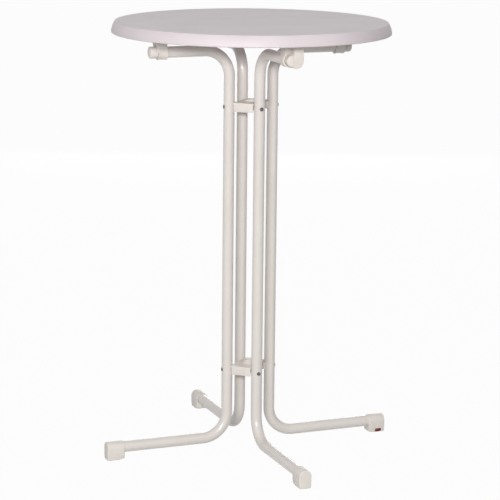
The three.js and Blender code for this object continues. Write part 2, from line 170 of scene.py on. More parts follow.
def fix(piece, body, node, material):
    """Hangs a finished piece on its body, in place of its CAD node."""
    piece.data.materials.clear()
    piece.data.materials.append(material)
    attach(piece, body)
    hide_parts(node)


def node_after(tree, kind, source, into, **settings):
    """Adds a shader node, with one input fed by another node's output."""
    node = tree.nodes.new(kind)
    for key, value in settings.items():
        setattr(node, key, value)
    if source is not None:
        tree.links.new(source, node.inputs[into])
    return node


def grain(tree, size, detail):
    """Noise of a real size in metres, fixed to the piece."""
    place = tree.nodes.new("ShaderNodeTexCoord").outputs["Object"]
    noise = node_after(tree, "ShaderNodeTexNoise", place, "Vector")
    noise.inputs["Scale"].default_value = 1 / size
    noise.inputs["Detail"].default_value = detail
    return noise.outputs["Fac"]


def tone(tree, shader, source, shade, colour, low=0.35, high=0.65):
    """Lets the base colour drift between two near tones."""
    ramp = node_after(tree, "ShaderNodeValToRGB", source, "Fac")
    ramp.color_ramp.elements[0].position = low
    ramp.color_ramp.elements[0].color = shade
    ramp.color_ramp.elements[1].position = high
    ramp.color_ramp.elements[1].color = colour
    tree.links.new(ramp.outputs["Color"], shader.inputs["Base Color"])
    return ramp


def gloss(tree, shader, source, low, high):
    """Lets the roughness drift between two values."""
    spread = node_after(tree, "ShaderNodeMapRange", source, "Value")
    spread.inputs["To Min"].default_value = low
    spread.inputs["To Max"].default_value = high
    tree.links.new(spread.outputs["Result"], shader.inputs["Roughness"])


def relief(tree, shader, source, depth, strength):
    """Raises the surface by a fine grain."""
    bump = node_after(tree, "ShaderNodeBump", source, "Height")
    bump.inputs["Distance"].default_value = depth
    bump.inputs["Strength"].default_value = strength
    tree.links.new(bump.outputs["Normal"], shader.inputs["Normal"])


def new_finish(name):
    material = bpy.data.materials.new(name)
    material.use_nodes = True
    return material, material.node_tree, material.node_tree.nodes["Principled BSDF"]


def powder_coat():
    """Baked white powder coat: fairly glossy, with the faint ripple of orange peel."""
    material, tree, shader = new_finish("powder_coat")
    tone(tree, shader, grain(tree, size=0.09, detail=3), PAINT_SHADE, PAINT)
    gloss(tree, shader, grain(tree, size=0.03, detail=4), low=0.27, high=0.32)
    relief(tree, shader, grain(tree, size=0.0016, detail=2), depth=0.00005, strength=0.22)
    shader.inputs["Coat Weight"].default_value = 0.25
    shader.inputs["Coat Roughness"].default_value = 0.12
    return material


def tube_stations():
    """The centre line in the side plane: each ring's x, z and heading, from arm to leg."""
    inner = UPRIGHT_X + BEND_RADIUS
    stations = [(ARM_END, ARM_Z, math.pi)]
    for centre_z, first in ((ARM_Z - BEND_RADIUS, QUARTER), (LEG_Z + BEND_RADIUS, math.pi)):
        for i in range(BEND_STEPS + 1):
            angle = first + QUARTER * i / BEND_STEPS
            x = inner + BEND_RADIUS * math.cos(angle)
            stations.append((x, centre_z + BEND_RADIUS * math.sin(angle), angle + QUARTER))
    stations.append((LEG_END, LEG_Z, 2 * math.pi))
    return stations


def bent_tube(name):
    """A hollow tube swept along the centre line, drilled where the hub screws pass."""
    rings = tube_stations()
    points = []
    for radius in (TUBE_RADIUS, TUBE_RADIUS - TUBE_WALL):
        for x, z, heading in rings:
            for i in range(TUBE_SIDES):
                angle = 2 * math.pi * i / TUBE_SIDES
                out = radius * math.cos(angle)
                across = radius * math.sin(angle)
                points.append((x - math.sin(heading) * out, across, z + math.cos(heading) * out))
    inside = len(rings) * TUBE_SIDES
    faces = []
    for i in range(TUBE_SIDES):
        j = (i + 1) % TUBE_SIDES
        for step in range(len(rings) - 1):
            here = step * TUBE_SIDES
            there = here + TUBE_SIDES
            faces.append((here + i, here + j, there + j, there + i))
            faces.append((inside + here + i, inside + there + i, inside + there + j, inside + here + j))
        for end in (0, inside - TUBE_SIDES):
            faces.append((end + i, end + j, inside + end + j, inside + end + i))
    tube = solid(name, points, faces)
    start = UPRIGHT_X - TUBE_RADIUS - OVERRUN
    end = UPRIGHT_X + TUBE_RADIUS + OVERRUN
    for height in HUB_Z.values():
        cut(tube, rod("drill", SCREW_SHANK + FIT, start, end, 0, height, SMALL_SIDES))
    return tube


paint = powder_coat()
tube_master = bent_tube("tube_master")
merge_flats(tube_master)
smooth(tube_master)
for side, body in SIDE_BODY.items():
    tube = turned_copy(tube_master, f"bent_tube_{side}", side)
    fix(tube, body, f"tube_{side}", paint)
bpy.data.objects.remove(tube_master)


# The arm end caps
# Moulded plugs in a slightly creamier white than the paint, pushed into the open end of
# each arm: a nearly flat head with a rounded edge, a little prouder than the tube, on a stem.
CAP_LAP = 0.00075
CAP_PLAY = 0.0008
CAP_HEAD_RADIUS = TUBE_RADIUS + CAP_LAP
CAP_STEM_RADIUS = TUBE_RADIUS - TUBE_WALL - CAP_PLAY
CAP_STEM_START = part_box("arm_cap_right")[0].x
CAP_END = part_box("arm_cap_right")[1].x
CAP_CORNER = 0.0045
CAP_CROWN = 0.0008
CAP_EDGE = 0.0006
CAP_SIDES = 48
CROWN_STEPS = 8
CREAM = (0.831, 0.780, 0.728, 1)
CREAM_SHADE = (0.788, 0.735, 0.681, 1)


def turned(name, profile, sides, place, closed=False):
    """A profile of radius and height turned round its axis, which place puts in space."""
    points = []
    rings = []
    for radius, height in profile:
        if radius < FIT / 10:
            rings.append([len(points)])
            points.append(place(0, 0, height))
            continue
        rings.append(list(range(len(points), len(points) + sides)))
        for i in range(sides):
            angle = 2 * math.pi * i / sides
            points.append(place(radius * math.cos(angle), radius * math.sin(angle), height))
    faces = []
    pairs = list(zip(rings, rings[1:] + rings[:1])) if closed else list(zip(rings, rings[1:]))
    for low, high in pairs:
        for i in range(sides):
            j = (i + 1) % sides
            corners = [low[i % len(low)], low[j % len(low)], high[j % len(high)], high[i % len(high)]]
            face = [c for k, c in enumerate(corners) if c not in corners[:k]]
            if len(face) > 2:
                faces.append(face)
    return solid(name, points, faces)


def on_arm_axis(u, v, w):
    return (w, u, ARM_Z + v)


def moulded_plastic():
    """Matt cream-white moulding, with the fine spark texture of its mould."""
    material, tree, shader = new_finish("moulded_white")
    tone(tree, shader, grain(tree, size=0.035, detail=3), CREAM_SHADE, CREAM)
    gloss(tree, shader, grain(tree, size=0.012, detail=3), low=0.42, high=0.54)
    relief(tree, shader, grain(tree, size=0.0007, detail=2), depth=0.00003, strength=0.3)
    return material


def arm_end_cap(name):
    head_start = ARM_END + FIT
    corner_top = CAP_END - CAP_CROWN
    face_radius = CAP_HEAD_RADIUS - CAP_CORNER
    profile = [(0, CAP_STEM_START), (CAP_STEM_RADIUS - 2 * CAP_EDGE, CAP_STEM_START)]
    profile.append((CAP_STEM_RADIUS, CAP_STEM_START + 2 * CAP_EDGE))
    profile.append((CAP_STEM_RADIUS, head_start))
    profile += [(x, z) for x, z in arc((CAP_HEAD_RADIUS - CAP_EDGE, head_start + CAP_EDGE),
                                       CAP_EDGE, -QUARTER, 0, 4)]
    profile += arc((face_radius, corner_top - CAP_CORNER), CAP_CORNER, 0, QUARTER, 10)
    for i in range(CROWN_STEPS - 1, -1, -1):
        share = i / CROWN_STEPS
        profile.append((face_radius * share, CAP_END - CAP_CROWN * share ** 2))
    return turned(name, profile, CAP_SIDES, on_arm_axis)


moulding = moulded_plastic()
cap_master = arm_end_cap("cap_master")
smooth(cap_master)
for side, body in SIDE_BODY.items():
    cap = turned_copy(cap_master, f"end_cap_{side}", side)
    fix(cap, body, f"arm_cap_{side}", moulding)
bpy.data.objects.remove(cap_master)


# The foot shoes
# Moulded shoes pushed over the ends of the legs: round over the tube, drawn in a little
# towards the flat sole, which rises at the inner end. Three are hollowed from below. The
# right one has a round pocket with a notch on each side, in which the levelling wheel turns.
RUNNING_GAP = 0.0006
SHOE_LOW, SHOE_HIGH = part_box("foot_cap_right")
SHOE_HALF = (SHOE_HIGH.y - SHOE_LOW.y) / 2
SHOE_HEEL_LENGTH = 0.017
SHOE_HEEL_RISE = 0.003
SHOE_DRAFT = 0.0018
SHOE_DRAFT_HEIGHT = 0.014
SHOE_SOLE_HALF = SHOE_HALF - SHOE_DRAFT
SHOE_EDGE = 0.0018
SHOE_RIM_EDGE = 0.0004
SHOE_POCKET_DEPTH = 0.007
SHOE_POCKET_WALL = 0.004
WHEEL_LOW, WHEEL_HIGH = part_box("levelling_wheel")
WHEEL_X = (WHEEL_LOW.x + WHEEL_HIGH.x) / 2
WHEEL_RADIUS = (WHEEL_HIGH.x - WHEEL_LOW.x) / 2
WHEEL_NOTCH = 0.0215
WHEEL_NOTCH_LEAN = 0.0028
STUD_LOW, STUD_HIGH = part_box("levelling_stud")
STUD_RADIUS = (STUD_HIGH.x - STUD_LOW.x) / 2
STUD_HOLE_SIDES = 32


def across_arm(u, v, w):
    return (u, w, v)


def upwards(u, v, w):
    return (u, v, w)


def post(name, radius, low, high, x, y, sides=TUBE_SIDES):
    """A round bar along Z."""
    return prism(name, arc((x, y), radius, 0, 2 * math.pi, sides)[:-1], low, high, upwards)


def soften(piece, width, steps=4, angle=32):
    """Rounds every crisp edge of a moulding by a small radius."""
    merge_flats(piece)
    edge = piece.modifiers.new("edge", "BEVEL")
    edge.width = width
    edge.segments = steps
    edge.limit_method = "ANGLE"
    edge.angle_limit = math.radians(angle)
    edge.use_clamp_overlap = False
    settle(piece)


def block(name, x, y, z):
    """A plain cutter, given by its spans in x, y and z."""
    outline = [(x[0], y[0]), (x[1], y[0]), (x[1], y[1]), (x[0], y[1])]
    return prism(name, outline, z[0], z[1], upwards)


def shoe_body(name):
    section = [(-SHOE_SOLE_HALF, 0), (SHOE_SOLE_HALF, 0), (SHOE_HALF, SHOE_DRAFT_HEIGHT)]
    section += arc((0, LEG_Z), SHOE_HALF, 0, math.pi, 40)
    section += [(-SHOE_HALF, SHOE_DRAFT_HEIGHT)]
    body = prism(name, section, SHOE_LOW.x, SHOE_HIGH.x, along_arm)
    heel = [(SHOE_LOW.x - OVERRUN, -OVERRUN), (SHOE_LOW.x + SHOE_HEEL_LENGTH, -OVERRUN)]
    heel += [(SHOE_LOW.x + SHOE_HEEL_LENGTH, 0), (SHOE_LOW.x, SHOE_HEEL_RISE)]
    heel += [(SHOE_LOW.x - OVERRUN, SHOE_HEEL_RISE)]
    reach = SHOE_HALF + OVERRUN
    cut(body, prism("heel", heel, -reach, reach, across_arm))
    soften(body, SHOE_EDGE)
    cut(body, rod("socket", TUBE_RADIUS + FIT, SHOE_LOW.x - OVERRUN, LEG_END + FIT, 0, LEG_Z))
    return body


def plain_shoe(name):
    shoe = shoe_body(name)
    half = SHOE_SOLE_HALF - SHOE_POCKET_WALL
    start = SHOE_LOW.x + SHOE_HEEL_LENGTH + SHOE_POCKET_WALL
    end = SHOE_HIGH.x - SHOE_EDGE - SHOE_POCKET_WALL
    cut(shoe, block("pocket", (start, end), (-half, half), (-OVERRUN, SHOE_POCKET_DEPTH)))
    soften(shoe, SHOE_RIM_EDGE, steps=2)
    return shoe


def levelling_shoe(name):
    shoe = shoe_body(name)
    top = WHEEL_HIGH.z + RUNNING_GAP
    pocket = post("pocket", WHEEL_RADIUS + RUNNING_GAP, -OVERRUN, top, WHEEL_X, 0)
    half = WHEEL_NOTCH / 2
    reach = SHOE_HALF + OVERRUN
    outline = [(WHEEL_X - half, -OVERRUN), (WHEEL_X + half, -OVERRUN)]
    outline += [(WHEEL_X + half - WHEEL_NOTCH_LEAN, top), (WHEEL_X - half + WHEEL_NOTCH_LEAN, top)]
    notch = prism("notch", outline, -reach, reach, across_arm)
    stud_top = STUD_HIGH.z + FIT
    hole = post("hole", STUD_RADIUS + FIT, top - OVERRUN, stud_top, WHEEL_X, 0, STUD_HOLE_SIDES)
    cut(shoe, pocket, notch, hole)
    soften(shoe, SHOE_RIM_EDGE, steps=2)
    return shoe


shoe_master = plain_shoe("shoe_master")
smooth(shoe_master)
for side in ("rear", "left", "front"):
    shoe = turned_copy(shoe_master, f"foot_shoe_{side}", side)
    fix(shoe, SIDE_BODY[side], f"foot_cap_{side}", moulding)
bpy.data.objects.remove(shoe_master)
right_shoe = levelling_shoe("foot_shoe_right")
smooth(right_shoe)
fix(right_shoe, "root", "foot_cap_right", moulding)


# The levelling wheel and its stud
# A dark red moulded wheel with finger grooves round its edge, and the plated threaded stud
# that it turns on. The wheel is screwed down to the floor until the table stands firm.
WHEEL_GROOVES = 18
WHEEL_GROOVE_STEPS = 6
WHEEL_GROOVE_DEPTH = 0.0008
WHEEL_EDGE = 0.0007
RED = (0.205, 0.021, 0.016, 1)
RED_SHADE = (0.118, 0.010, 0.009, 1)
STEEL = (0.235, 0.228, 0.218, 1)
STEEL_SHADE = (0.120, 0.117, 0.112, 1)
THREAD_PITCH = 0.00125
THREAD_DEPTH = 0.0004
THREAD_SIDES = 20
THREAD_RINGS_PER_TURN = 6
THREAD_TIP_SHARE = 0.08


def red_plastic():
    material, tree, shader = new_finish("red_plastic")
    tone(tree, shader, grain(tree, size=0.006, detail=4), RED_SHADE, RED)
    gloss(tree, shader, grain(tree, size=0.004, detail=3), low=0.34, high=0.5)
    relief(tree, shader, grain(tree, size=0.0006, detail=2), depth=0.00003, strength=0.3)
    return material


def screw_steel():
    """Dark plated steel, a little uneven, bright only where it catches the light."""
    material, tree, shader = new_finish("screw_steel")
    tone(tree, shader, grain(tree, size=0.003, detail=5), STEEL_SHADE, STEEL)
    gloss(tree, shader, grain(tree, size=0.0015, detail=4), low=0.28, high=0.46)
    relief(tree, shader, grain(tree, size=0.0004, detail=3), depth=0.00002, strength=0.25)
    shader.inputs["Metallic"].default_value = 1
    return material


def threaded_rod(name, radius, low, high, pitch, depth, point=0):
    """A rod along Z with a true helical thread, drawn to a point over its last stretch."""
    sides = THREAD_SIDES
    rings = round((high - low) / pitch * THREAD_RINGS_PER_TURN)
    points = []
    for ring in range(rings + 1):
        height = low + (high - low) * ring / rings
        for i in range(sides):
            share = (height / pitch - i / sides) % 1
            crest = 1 - abs(2 * share - 1)
            taper = min(1, (high - height) / point + THREAD_TIP_SHARE) if point else 1
            reach = (radius - depth * (1 - crest)) * taper
            angle = 2 * math.pi * i / sides
            points.append((reach * math.cos(angle), reach * math.sin(angle), height))
    faces = [tuple(range(sides)), tuple(range(rings * sides, (rings + 1) * sides))]
    for ring in range(rings):
        for i in range(sides):
            j = (i + 1) % sides
            here = ring * sides
            faces.append((here + i, here + j, here + sides + j, here + sides + i))
    return solid(name, points, faces)


def levelling_wheel(name):
    outline = []
    for i in range(WHEEL_GROOVES * WHEEL_GROOVE_STEPS):
        share = i / WHEEL_GROOVE_STEPS
        angle = 2 * math.pi * share / WHEEL_GROOVES
        radius = WHEEL_RADIUS - WHEEL_GROOVE_DEPTH * math.sin(math.pi * share) ** 2
        outline.append((WHEEL_X + radius * math.cos(angle), radius * math.sin(angle)))
    wheel = prism(name, outline, WHEEL_LOW.z, WHEEL_HIGH.z, upwards)
    soften(wheel, WHEEL_EDGE, steps=3, angle=60)
    return wheel


red = red_plastic()
steel = screw_steel()
wheel = levelling_wheel("levelling_hand_wheel")
smooth(wheel)
fix(wheel, "levelling_knob", "levelling_wheel", red)
stud = threaded_rod("levelling_thread", STUD_RADIUS, STUD_LOW.z, STUD_HIGH.z, THREAD_PITCH,
                    THREAD_DEPTH)
stud.data.transform(Matrix.Translation((WHEEL_X, 0, 0)))
smooth(stud)
fix(stud, "levelling_screw", "levelling_stud", steel)


# The hubs
# Two alike hubs hold the four uprights. In each, a fixed moulding with a top plate and two
# deep skirts is screwed to the left and right tubes, a turning one under it to the front
# and rear tubes, and both turn on a hollow bush with a flange at each end.
HUB_PLATE = 0.004
HUB_SKIRT = 0.003
HUB_FACE_PROUD = 0.0065
HUB_SIDE_SETBACK = 0.0124
HUB_CORNER = 0.003
HUB_EDGE = 0.0006
LUG_WIDTH = 0.014
LUG_DEPTH = 0.008
LUG_START = UPRIGHT_X - TUBE_RADIUS - LUG_DEPTH
LUG_END = UPRIGHT_X - TUBE_RADIUS / 2
ROTOR_BAR_THICKNESS = 0.005
ROTOR_BAR_WIDTH = 0.018
BUSH_BORE = 0.0175
BUSH_WALL = 0.0015
BUSH_FLANGE = 0.004
BUSH_FLANGE_THICKNESS = 0.0012
BUSH_EDGE = 0.0004
BUSH_RADIUS = BUSH_BORE + BUSH_WALL
HUB_LOW, HUB_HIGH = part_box("upper_hub_shell")
HUB_HALF = (HUB_HIGH.z - HUB_LOW.z) / 2
HUB_CUT_REACH = 3 * HUB_HALF
HUB_CORNER_STEPS = 6
DIAGONAL_SHARE = math.sqrt(0.5)


def join(piece, *others):
    for other in others:
        combine(piece, other, "UNION")


def rounded_box(name, x, y, z, radius):
    """A plate with rounded corners in plan."""
    outline = []
    corners = ((x[1], y[1], 0), (x[0], y[1], 1), (x[0], y[0], 2), (x[1], y[0], 3))
    for corner_x, corner_y, turn in corners:
        centre_x = corner_x - radius if turn in (0, 3) else corner_x + radius
        centre_y = corner_y - radius if turn in (0, 1) else corner_y + radius
        outline += arc((centre_x, centre_y), radius, turn * QUARTER, (turn + 1) * QUARTER,
                       HUB_CORNER_STEPS)
    return prism(name, outline, z[0], z[1], upwards)


def cut_for_uprights(piece, clearance, turn):
    """Cuts the hollows in which a pair of uprights stands, right through the piece."""
    for sign in (1, -1):
        x = sign * UPRIGHT_X * math.cos(turn)
        y = sign * UPRIGHT_X * math.sin(turn)
        cut(piece, post("upright", TUBE_RADIUS + clearance, -HUB_CUT_REACH, HUB_CUT_REACH, x, y))


def add_lugs(piece, low, high):
    half = LUG_WIDTH / 2
    for start, end in ((LUG_START, LUG_END), (-LUG_END, -LUG_START)):
        join(piece, block("lug", (start, end), (-half, half), (low, high)))


def drill_hub(piece):
    """The hole for the bush, and the two screw holes in the lugs."""
    cut(piece, post("bush_hole", BUSH_RADIUS + FIT, -HUB_CUT_REACH, HUB_CUT_REACH, 0, 0))
    for start, end in ((LUG_START - OVERRUN, LUG_END), (-LUG_END, -LUG_START + OVERRUN)):
        cut(piece, rod("screw_hole", SCREW_SHANK + FIT, start, end, 0, 0, SMALL_SIDES))


def hub_shell(name):
    face = UPRIGHT_X * DIAGONAL_SHARE + HUB_FACE_PROUD
    side = UPRIGHT_X * DIAGONAL_SHARE - HUB_SIDE_SETBACK
    skirt_top = HUB_HALF - HUB_PLATE / 2
    shell = rounded_box(name, (-face, face), (-side, side), (HUB_HALF - HUB_PLATE, HUB_HALF), HUB_CORNER)
    for x in ((face - HUB_SKIRT, face), (-face, HUB_SKIRT - face)):
        join(shell, block("skirt", x, (-side + HUB_CORNER, side - HUB_CORNER), (-HUB_HALF, skirt_top)))
    shell.data.transform(Matrix.Rotation(QUARTER / 2, 4, "Z"))
    add_lugs(shell, -HUB_HALF + HUB_PLATE, skirt_top)
    cut_for_uprights(shell, FIT, 0)
    cut_for_uprights(shell, RUNNING_GAP, QUARTER)
    drill_hub(shell)
    soften(shell, HUB_EDGE, steps=3)
    return shell


def hub_rotor(name):
    low = -HUB_HALF + HUB_PLATE
    high = HUB_HALF - HUB_PLATE - FIT
    boss_radius = (BUSH_RADIUS + FIT + LUG_START) / 2
    rotor = post(name, boss_radius, low, high, 0, 0)
    reach = LUG_START + OVERRUN
    half_width = ROTOR_BAR_WIDTH / 2
    half = ROTOR_BAR_THICKNESS / 2
    join(rotor, block("bar", (-reach, reach), (-half_width, half_width), (-half, half)))
    add_lugs(rotor, low, high)
    cut_for_uprights(rotor, FIT, 0)
    drill_hub(rotor)
    soften(rotor, HUB_EDGE, steps=3)
    rotor.data.transform(Matrix.Rotation(QUARTER, 4, "Z"))
    return rotor


def hub_bush(name):
    high = HUB_HALF + FIT + BUSH_FLANGE_THICKNESS
    low = -HUB_HALF + HUB_PLATE - FIT - BUSH_FLANGE_THICKNESS
    flange = BUSH_RADIUS + BUSH_FLANGE
    edge = BUSH_EDGE
    profile = [(BUSH_BORE, low + edge), (BUSH_BORE + edge, low)]
    profile += [(flange - edge, low), (flange, low + edge)]
    profile += [(flange, low + BUSH_FLANGE_THICKNESS), (BUSH_RADIUS, low + BUSH_FLANGE_THICKNESS)]
    profile += [(BUSH_RADIUS, high - BUSH_FLANGE_THICKNESS), (flange, high - BUSH_FLANGE_THICKNESS)]
    profile += [(flange, high - edge), (flange - edge, high)]
    profile += [(BUSH_BORE + edge, high), (BUSH_BORE, high - edge)]
    return turned(name, profile, TUBE_SIDES, upwards, closed=True)


def raised_copy(master, name, height):
    """A copy of a hub piece, lifted to its own level."""
    piece = turned_copy(master, name, "right")
    piece.data.transform(Matrix.Translation((0, 0, height)))
    return piece


hub_masters = {"shell": hub_shell("shell_master"), "rotor": hub_rotor("rotor_master"),
               "bush": hub_bush("bush_master")}
for kind, master in hub_masters.items():
    smooth(master)
    for level, height in HUB_Z.items():
        hub_piece = raised_copy(master, f"{level}_hub_moulding_{kind}", height)
        fix(hub_piece, "folding_pair" if kind == "rotor" else "root", f"{level}_hub_{kind}",
            moulding)
    bpy.data.objects.remove(master)


# The tube screws
# Eight dark steel screws, two on each tube, driven from outside through the upright into
# the lugs of the hubs. The low domed head has a cross recess and a saddle that fits the tube.
TUBE_SCREW_HEAD = 0.005
TUBE_SCREW_HEAD_HEIGHT = 0.0008
TUBE_RECESS_DEPTH = 0.0013
SCREW_NECK = 0.008
RECESS_SHARE = 0.46
RECESS_WIDTH_SHARE = 0.13
TUBE_DOME_SHARE = 0.62
DOME_STEPS = 8
SCREW_SIDES = 32
SCREW_PITCH = 0.0016
SCREW_THREAD_DEPTH = 0.0005
SCREW_POINT = 0.003


def cross_recess(centre, radius, depth):
    """A cutter for the driver's cross, on a head that faces +X."""
    parts = []
    half = radius * RECESS_WIDTH_SHARE
    reach = radius * RECESS_SHARE
    for y, z in ((half, reach), (reach, half)):
        outline = [(-y, -z), (y, -z), (y, z), (-y, z)]
        parts.append(prism("recess", outline, centre - depth, centre + OVERRUN, along_arm))
    return parts


def tube_screw(name):
    """A head with its saddle and cross on a plain neck, in which the threaded shank starts."""
    head_end = UPRIGHT_X + TUBE_RADIUS + FIT + TUBE_SCREW_HEAD_HEIGHT
    seat = UPRIGHT_X + math.sqrt(TUBE_RADIUS ** 2 - TUBE_SCREW_HEAD ** 2)
    shoulder = head_end - TUBE_SCREW_HEAD_HEIGHT * TUBE_DOME_SHARE
    profile = [(0, seat), (TUBE_SCREW_HEAD, seat), (TUBE_SCREW_HEAD, shoulder)]
    dome = head_end - shoulder
    for i in range(1, DOME_STEPS + 1):
        angle = QUARTER * i / DOME_STEPS
        profile.append((TUBE_SCREW_HEAD * math.cos(angle), shoulder + dome * math.sin(angle)))
    head = turned(name, profile, SCREW_SIDES, along_arm)
    cut(head, post("saddle", TUBE_RADIUS + FIT, -HUB_HALF, HUB_HALF, UPRIGHT_X, 0))
    neck_start = head_end - SCREW_NECK
    neck_end = head_end - TUBE_SCREW_HEAD_HEIGHT / 2
    join(head, rod("neck", SCREW_SHANK, neck_start, neck_end, 0, 0, SMALL_SIDES))
    cut(head, *cross_recess(head_end, TUBE_SCREW_HEAD, TUBE_RECESS_DEPTH))
    length = neck_start + OVERRUN - LUG_START - FIT
    shank = threaded_rod("shank", SCREW_SHANK - FIT / 2, 0, length, SCREW_PITCH, SCREW_THREAD_DEPTH,
                         SCREW_POINT)
    place = Matrix.Translation((LUG_START + FIT + length, 0, 0))
    shank.data.transform(place @ Matrix.Rotation(-QUARTER, 4, "Y"))
    join(head, shank)
    return head


screw_master = tube_screw("screw_master")
smooth(screw_master)
for side, body in SIDE_BODY.items():
    for level, height in HUB_Z.items():
        screw = turned_copy(screw_master, f"{level}_hub_screw_{side}", side)
        screw.data.transform(Matrix.Translation((0, 0, height)))
        fix(screw, body, f"{level}_tube_screw_{side}", steel)
bpy.data.objects.remove(screw_master)


# The bearings
# Moulded blocks screwed under the board at the left and right: a collar with a bead round
# each end holds the arm, and a pedestal whose outer end leans outwards spreads into a
# flange with two screws.
BEARING_LOW, BEARING_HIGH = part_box("bearing_right")
FLANGE_OVERHANG = 0.0136
FLANGE_END = BEARING_HIGH.x
COLLAR_START = BEARING_LOW.x
COLLAR_END = FLANGE_END - FLANGE_OVERHANG
COLLAR_WALL = 0.0038
COLLAR_RADIUS = TUBE_RADIUS + COLLAR_WALL
BEAD_RADIUS = ARM_Z - BEARING_LOW.z
BEAD_WIDTH = 0.0026
PEDESTAL_INSET = 0.0015
PEDESTAL_HALF = 0.014
FLANGE_HALF = BEARING_HIGH.y
FLANGE_TOP = BEARING_HIGH.z
FLANGE_THICKNESS = 0.006
FLANGE_BOTTOM = FLANGE_TOP - FLANGE_THICKNESS
FLANGE_FLARE = 0.010
BOARD_SCREW_SHANK = 0.002
BRACKET_EDGE = 0.0007
FLANGE_SCREW_Y = (PEDESTAL_HALF + FLANGE_FLARE + FLANGE_HALF) / 2
FLANGE_SCREW_X = (COLLAR_START + FLANGE_END) / 2


def pedestal_outline():
    """The pedestal and flange, from the right-hand foot of the collar round to its left."""
    right = [(PEDESTAL_HALF, FLANGE_BOTTOM - FLANGE_FLARE)]
    right += arc((PEDESTAL_HALF + FLANGE_FLARE, FLANGE_BOTTOM - FLANGE_FLARE), FLANGE_FLARE,
                 math.pi, QUARTER, 8)[1:]
    right += [(FLANGE_HALF, FLANGE_BOTTOM), (FLANGE_HALF, FLANGE_TOP)]
    return right + [(-y, z) for y, z in reversed(right)]


def lean_cutter():
    """What is cut off the outer end, so that it leans out from the arm's axis upwards."""
    low = ARM_Z - 2 * COLLAR_RADIUS
    outline = [(COLLAR_END, low), (COLLAR_END, ARM_Z), (FLANGE_END, FLANGE_BOTTOM)]
    outline += [(FLANGE_END + OVERRUN, FLANGE_BOTTOM), (FLANGE_END + OVERRUN, low)]
    return prism("lean", outline, -FLANGE_HALF - OVERRUN, FLANGE_HALF + OVERRUN, across_arm)


def drill_flange(piece):
    for y in (FLANGE_SCREW_Y, -FLANGE_SCREW_Y):
        cut(piece, post("hole", BOARD_SCREW_SHANK + FIT, FLANGE_BOTTOM - OVERRUN,
                        FLANGE_TOP + OVERRUN, FLANGE_SCREW_X, y, SMALL_SIDES))


def bearing(name):
    """A collar with its two beads, and the pedestal set in a little behind the inner one."""
    inset = BEAD_WIDTH / 2
    holder = rod(name, COLLAR_RADIUS, COLLAR_START + inset, COLLAR_END - inset, 0, ARM_Z)
    beads = ((COLLAR_START, COLLAR_START + BEAD_WIDTH), (COLLAR_END - BEAD_WIDTH, COLLAR_END))
    for start, end in beads:
        join(holder, rod("bead", BEAD_RADIUS, start, end, 0, ARM_Z))
    half = COLLAR_RADIUS - BRACKET_EDGE
    foot = math.acos(PEDESTAL_HALF / half)
    outline = [(-half, ARM_Z - BRACKET_EDGE), (half, ARM_Z - BRACKET_EDGE)]
    outline += arc((0, ARM_Z), half, 0, foot, 8)
    outline += pedestal_outline()
    outline += arc((0, ARM_Z), half, math.pi - foot, math.pi, 8)
    pedestal = prism("pedestal", outline, COLLAR_START + PEDESTAL_INSET, FLANGE_END, along_arm)
    cut(pedestal, lean_cutter())
    join(holder, pedestal)
    bore_start = COLLAR_START - OVERRUN
    cut(holder, rod("bore", TUBE_RADIUS + FIT, bore_start, FLANGE_END + OVERRUN, 0, ARM_Z))
    drill_flange(holder)
    soften(holder, BRACKET_EDGE, steps=3)
    return holder


bearing_master = bearing("bearing_master")
smooth(bearing_master)
for side in ("left", "right"):
    bracket = turned_copy(bearing_master, f"bearing_block_{side}", side)
    fix(bracket, "root", f"bearing_{side}", moulding)
bpy.data.objects.remove(bearing_master)


# The clips
# The same moulding for the front and rear arms, but with its collar cut open on the side
# to which the arm swings out, and a rounded lip under the mouth that the arm snaps past.
CLIP_MOUTH = TUBE_RADIUS + RUNNING_GAP
CLIP_LIP_LENGTH = 0.004
CLIP_LIP = COLLAR_RADIUS + CLIP_LIP_LENGTH


def clip(name):
    angle = math.acos(PEDESTAL_HALF / COLLAR_RADIUS)
    round_radius = (COLLAR_RADIUS - CLIP_MOUTH) / 2
    outline = arc((0, ARM_Z), COLLAR_RADIUS, math.pi - angle, 3 * QUARTER, 28)
    outline += arc((CLIP_LIP - round_radius, ARM_Z - COLLAR_RADIUS + round_radius), round_radius,
                   -QUARTER, QUARTER, 10)
    outline += arc((0, ARM_Z), CLIP_MOUTH, 3 * QUARTER, QUARTER, 36)
    outline += [(PEDESTAL_HALF + round_radius, ARM_Z + CLIP_MOUTH)]
    outline += [(PEDESTAL_HALF, ARM_Z + COLLAR_RADIUS)]
    jaw = prism(name, outline + pedestal_outline(), COLLAR_START, FLANGE_END, along_arm)
    cut(jaw, lean_cutter())
    drill_flange(jaw)
    soften(jaw, BRACKET_EDGE, steps=3)
    return jaw


clip_master = clip("clip_master")
smooth(clip_master)
for side in ("front", "rear"):
    jaw = turned_copy(clip_master, f"clip_jaw_{side}", side)
    fix(jaw, "root", f"clip_{side}", moulding)
bpy.data.objects.remove(clip_master)


# The catch plates
# A thin moulded plate hangs in front of each clipped arm's end, with its lower outer corner
# rounded, and a foot turned back under the board, held by one screw.
CATCH_LOW, CATCH_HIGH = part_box("catch_rear")
CATCH_START = CATCH_LOW.y
CATCH_END = CATCH_HIGH.y
CATCH_NEAR = -CATCH_HIGH.x
CATCH_FAR = -CATCH_LOW.x
CATCH_THICKNESS = 0.003
CATCH_CORNER = 0.017
CATCH_EDGE = 0.0005
CATCH_SCREW = ((CATCH_START + CATCH_END + CATCH_THICKNESS) / 2, (CATCH_NEAR + CATCH_FAR) / 2)


